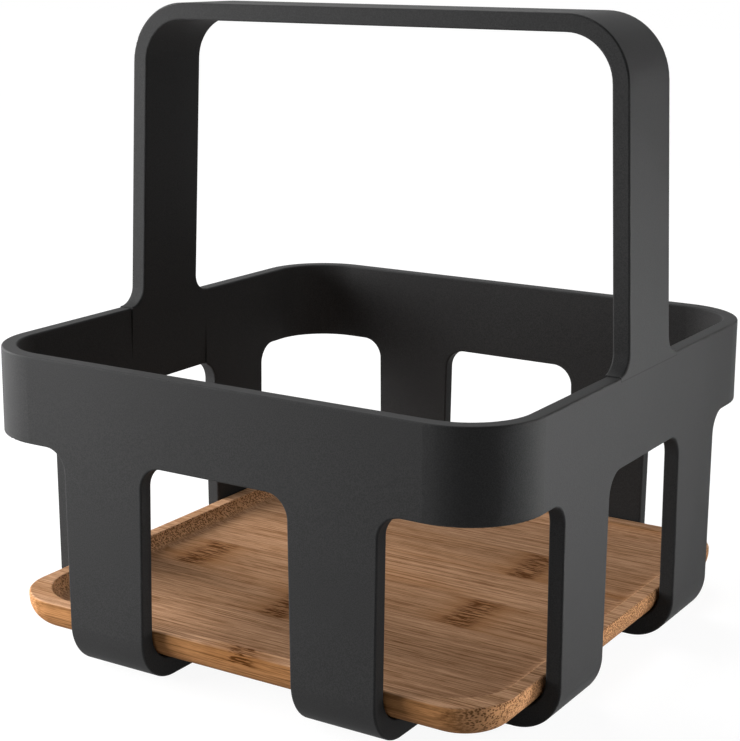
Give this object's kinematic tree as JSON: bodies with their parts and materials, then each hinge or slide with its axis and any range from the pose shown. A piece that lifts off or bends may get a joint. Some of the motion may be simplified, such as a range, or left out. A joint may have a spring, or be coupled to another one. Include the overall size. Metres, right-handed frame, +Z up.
{
  "type": "table caddy",
  "caption": "Square open basket on flat bent legs with a fixed arched handle and a loose bamboo dish tray, for carrying condiments to the table.",
  "frame": {"origin": "middle of the footprint, on the table", "axes": "+Z up, +X along the handle's span, -Y towards the front of the picture"},
  "size_m": [0.18, 0.18, 0.1941],
  "materials": {
    "black_plastic": "fine matte moulding",
    "bamboo": "oiled, satin"
  },
  "bodies": {
    "basket": {"basket": "black_plastic", "handle": "black_plastic"},
    "tray": {"tray": "bamboo"}
  },
  "joints": [
    {"name": "tray_lift", "type": "slide", "parent": "basket", "child": "tray", "axis": [0, 0, 1], "range_m": [0, 0.09]}
  ]
}
